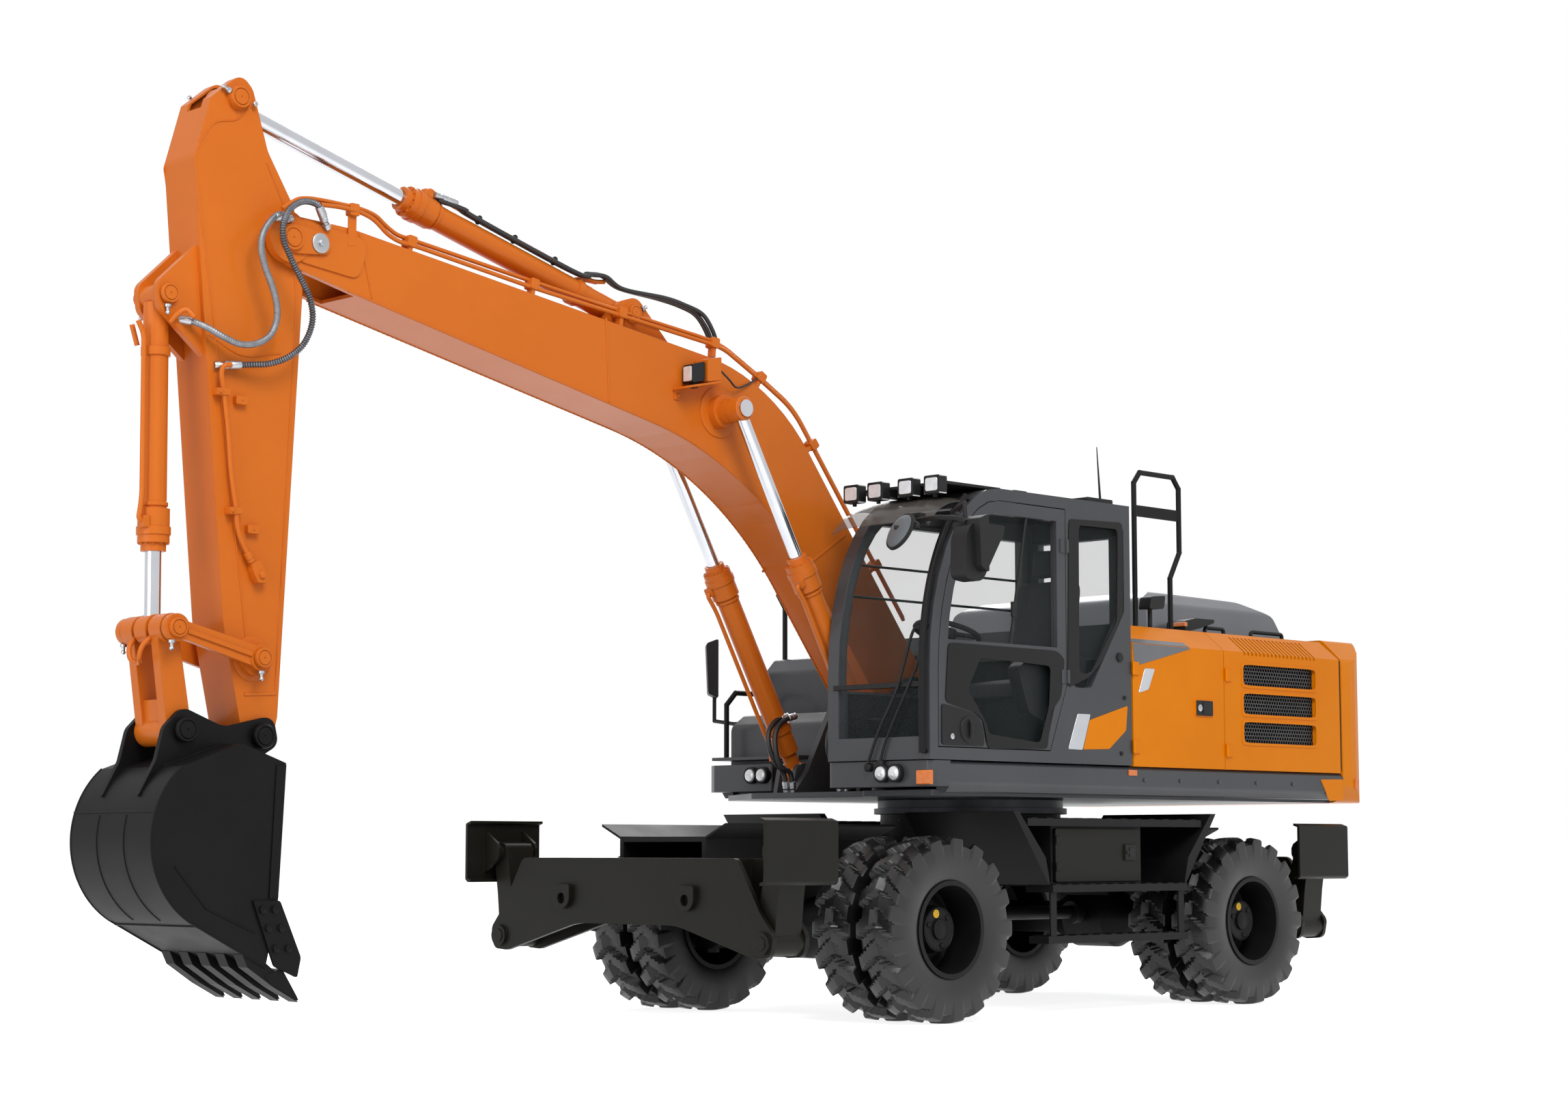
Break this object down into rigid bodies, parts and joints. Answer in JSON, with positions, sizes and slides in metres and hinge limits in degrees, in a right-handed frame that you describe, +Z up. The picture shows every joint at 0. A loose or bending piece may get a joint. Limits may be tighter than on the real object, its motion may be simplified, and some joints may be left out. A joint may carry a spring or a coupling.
{
  "type": "wheeled excavator",
  "caption": "Wheeled excavator with twin tyres, folding outriggers, a slewing upper structure with cab and engine hood, and a hydraulic boom, arm and digging bucket.",
  "frame": {"origin": "on the ground, under the middle of the whole machine in its stored pose", "axes": "+X forward towards the bucket, +Y to the operator's left, +Z up"},
  "size_m": [9.096, 3.2689, 4.8566],
  "materials": {
    "frame_black": "satin black paint",
    "bearing_steel": "machined steel",
    "stand_paint": "satin olive black paint",
    "tyre": "matt rubber",
    "grey_paint": "metallic dark grey paint",
    "hood_paint": "gloss orange paint",
    "engine_alloy": "plain cast block",
    "glazing": "clear tinted glass",
    "trim": "moulded plastic",
    "seat_fabric": "woven cloth",
    "lens": "clear lens",
    "boom_paint": "gloss orange paint",
    "rod_chrome": "polished chrome",
    "bucket_steel": "satin black paint"
  },
  "bodies": {
    "chassis": {"chassis_frame": "frame_black", "swing_bearing": "bearing_steel", "front_axle": "frame_black", "rear_axle": "frame_black", "driveline": "frame_black", "outrigger_frames": "stand_paint", "lashing_eyes": "stand_paint", "step_boxes": "frame_black"},
    "toolbox_lid_left": {"toolbox_door_left": "stand_paint"},
    "toolbox_lid_right": {"toolbox_door_right": "stand_paint"},
    "steer_left": {"knuckle_left": "frame_black"},
    "steer_right": {"knuckle_right": "frame_black"},
    "wheel_front_left": {"rim_front_left": "frame_black", "tyres_front_left": "tyre"},
    "wheel_front_right": {"rim_front_right": "frame_black", "tyres_front_right": "tyre"},
    "wheel_rear_left": {"rim_rear_left": "frame_black", "tyres_rear_left": "tyre"},
    "wheel_rear_right": {"rim_rear_right": "frame_black", "tyres_rear_right": "tyre"},
    "stand_front_left": {"leg_front_left": "stand_paint"},
    "stand_front_right": {"leg_front_right": "stand_paint"},
    "stand_rear_left": {"leg_rear_left": "stand_paint"},
    "stand_rear_right": {"leg_rear_right": "stand_paint"},
    "upper": {"upper_frame": "grey_paint", "side_sills": "grey_paint", "counterweight": "hood_paint", "hood_body": "grey_paint", "engine": "engine_alloy", "right_tank": "grey_paint", "hand_rails": "frame_black", "cab_shell": "grey_paint", "cab_glass": "glazing", "seat_base": "trim", "seat_cushion": "seat_fabric", "controls": "trim", "mirrors": "trim", "lamps": "lens"},
    "door": {"cab_door": "grey_paint", "door_glass": "glazing"},
    "service_front": {"hood_door_front": "hood_paint"},
    "service_rear": {"hood_door_rear": "hood_paint"},
    "service_right": {"hood_door_right": "hood_paint"},
    "service_lid": {"engine_hood": "grey_paint"},
    "boom_beam": {"boom": "boom_paint"},
    "lift_tubes": {"boom_tubes": "boom_paint"},
    "lift_rods": {"boom_rods": "rod_chrome"},
    "crowd_tube": {"arm_tube": "boom_paint"},
    "crowd_rod": {"arm_rod": "rod_chrome"},
    "arm_beam": {"arm": "boom_paint"},
    "curl_tube": {"bucket_tube": "boom_paint"},
    "curl_rod": {"bucket_rod": "rod_chrome"},
    "curl_rockers": {"rockers": "boom_paint"},
    "curl_link": {"bucket_link": "boom_paint"},
    "digging_bucket": {"bucket": "bucket_steel", "bucket_teeth": "bucket_steel"}
  },
  "joints": [
    {"name": "swing", "type": "hinge", "parent": "chassis", "child": "upper", "pos_m": [-1.708, 0, 1.285], "axis": [0, 0, 1], "continuous": true},
    {"name": "steer_left_turn", "type": "hinge", "parent": "chassis", "child": "steer_left", "pos_m": [-0.118, 0.72, 0.5275], "axis": [0, 0, 1], "range_deg": [-30, 30]},
    {"name": "steer_right_turn", "type": "hinge", "parent": "chassis", "child": "steer_right", "pos_m": [-0.118, -0.72, 0.5275], "axis": [0, 0, 1], "range_deg": [-30, 30]},
    {"name": "wheel_front_left_spin", "type": "hinge", "parent": "steer_left", "child": "wheel_front_left", "pos_m": [-0.118, 0.955, 0.5275], "axis": [0, 1, 0], "continuous": true},
    {"name": "wheel_rear_left_spin", "type": "hinge", "parent": "chassis", "child": "wheel_rear_left", "pos_m": [-2.998, 0.955, 0.5275], "axis": [0, 1, 0], "continuous": true},
    {"name": "wheel_front_right_spin", "type": "hinge", "parent": "steer_right", "child": "wheel_front_right", "pos_m": [-0.118, -0.955, 0.5275], "axis": [0, 1, 0], "continuous": true},
    {"name": "wheel_rear_right_spin", "type": "hinge", "parent": "chassis", "child": "wheel_rear_right", "pos_m": [-2.998, -0.955, 0.5275], "axis": [0, 1, 0], "continuous": true},
    {"name": "stand_front_left_fold", "type": "hinge", "parent": "chassis", "child": "stand_front_left", "pos_m": [1.092, 1.1, 0.476], "axis": [-1, 0, 0], "range_deg": [0, 118]},
    {"name": "stand_rear_left_fold", "type": "hinge", "parent": "chassis", "child": "stand_rear_left", "pos_m": [-3.778, 1.1, 0.476], "axis": [-1, 0, 0], "range_deg": [0, 118]},
    {"name": "toolbox_left_open", "type": "hinge", "parent": "chassis", "child": "toolbox_lid_left", "pos_m": [-1.142, 1.175, 0.94], "axis": [0, 0, -1], "range_deg": [0, 100]},
    {"name": "stand_front_right_fold", "type": "hinge", "parent": "chassis", "child": "stand_front_right", "pos_m": [1.092, -1.1, 0.476], "axis": [1, 0, 0], "range_deg": [0, 118]},
    {"name": "stand_rear_right_fold", "type": "hinge", "parent": "chassis", "child": "stand_rear_right", "pos_m": [-3.778, -1.1, 0.476], "axis": [1, 0, 0], "range_deg": [0, 118]},
    {"name": "toolbox_right_open", "type": "hinge", "parent": "chassis", "child": "toolbox_lid_right", "pos_m": [-1.142, -1.175, 0.94], "axis": [0, 0, 1], "range_deg": [0, 100]},
    {"name": "door_open", "type": "hinge", "parent": "upper", "child": "door", "pos_m": [-1.164, 1.262, 2.2], "axis": [0, 0, 1], "range_deg": [0, 105]},
    {"name": "service_front_open", "type": "hinge", "parent": "upper", "child": "service_front", "pos_m": [-1.79, 1.262, 1.9], "axis": [0, 0, -1], "range_deg": [0, 85]},
    {"name": "service_rear_open", "type": "hinge", "parent": "upper", "child": "service_rear", "pos_m": [-2.74, 1.262, 1.9], "axis": [0, 0, -1], "range_deg": [0, 85]},
    {"name": "service_right_open", "type": "hinge", "parent": "upper", "child": "service_right", "pos_m": [-1.79, -1.262, 1.9], "axis": [0, 0, 1], "range_deg": [0, 85]},
    {"name": "service_lid_open", "type": "hinge", "parent": "upper", "child": "service_lid", "pos_m": [-3.97, 0, 2.374], "axis": [0, -1, 0], "range_deg": [0, 50]},
    {"name": "boom_lift", "type": "hinge", "parent": "upper", "child": "boom_beam", "pos_m": [-0.958, 0, 1.85], "axis": [0, -1, 0], "range_deg": [-36, 36]},
    {"name": "lift_tubes_turn", "type": "hinge", "parent": "upper", "child": "lift_tubes", "pos_m": [-0.488, 0, 1.44], "axis": [0, -1, 0], "range_deg": [-35, 35]},
    {"name": "lift_rods_slide", "type": "slide", "parent": "lift_tubes", "child": "lift_rods", "axis": [0.4946, 0, 0.8691], "range_m": [-0.38, 0.38]},
    {"name": "arm_crowd", "type": "hinge", "parent": "boom_beam", "child": "arm_beam", "pos_m": [3.704, 0, 4.066], "axis": [0, 1, 0], "range_deg": [-66, 40]},
    {"name": "crowd_tube_turn", "type": "hinge", "parent": "boom_beam", "child": "crowd_tube", "pos_m": [1.307, 0, 4.016], "axis": [0, 1, 0], "range_deg": [-9, 6]},
    {"name": "crowd_rod_slide", "type": "slide", "parent": "crowd_tube", "child": "crowd_rod", "axis": [0.9648, 0, 0.2629], "range_m": [-0.74, 0.46]},
    {"name": "bucket_curl", "type": "hinge", "parent": "arm_beam", "child": "digging_bucket", "pos_m": [3.815, 0, 1.53643], "axis": [0, 1, 0], "range_deg": [-35, 100]},
    {"name": "curl_tube_turn", "type": "hinge", "parent": "arm_beam", "child": "curl_tube", "pos_m": [4.363, 0, 3.702], "axis": [0, 1, 0], "range_deg": [-3, 5]},
    {"name": "curl_rod_slide", "type": "slide", "parent": "curl_tube", "child": "curl_rod", "axis": [-0.0127, 0, -0.9999], "range_m": [-0.25, 0.69]},
    {"name": "curl_rockers_turn", "type": "hinge", "parent": "arm_beam", "child": "curl_rockers", "pos_m": [3.851, 0, 1.92143], "axis": [0, 1, 0], "range_deg": [-31, 86]},
    {"name": "curl_link_turn", "type": "hinge", "parent": "digging_bucket", "child": "curl_link", "pos_m": [4.263, 0, 1.55543], "axis": [0, 1, 0], "range_deg": [-76, 28]}
  ],
  "couplings": [
    {"joint": "steer_right_turn", "follows": "steer_left_turn", "ratio": 1},
    {"joint": "lift_tubes_turn", "follows": "boom_lift", "ratio": 0.9501},
    {"joint": "lift_rods_slide", "follows": "boom_lift", "m_per_rad": 0.584},
    {"joint": "crowd_tube_turn", "follows": "arm_crowd", "ratio": 0.105},
    {"joint": "crowd_rod_slide", "follows": "arm_crowd", "m_per_rad": 0.642},
    {"joint": "curl_rockers_turn", "follows": "bucket_curl", "ratio": 0.8341},
    {"joint": "curl_link_turn", "follows": "bucket_curl", "ratio": -0.7325},
    {"joint": "curl_tube_turn", "follows": "bucket_curl", "ratio": 0.0388},
    {"joint": "curl_rod_slide", "follows": "bucket_curl", "m_per_rad": 0.3878}
  ]
}
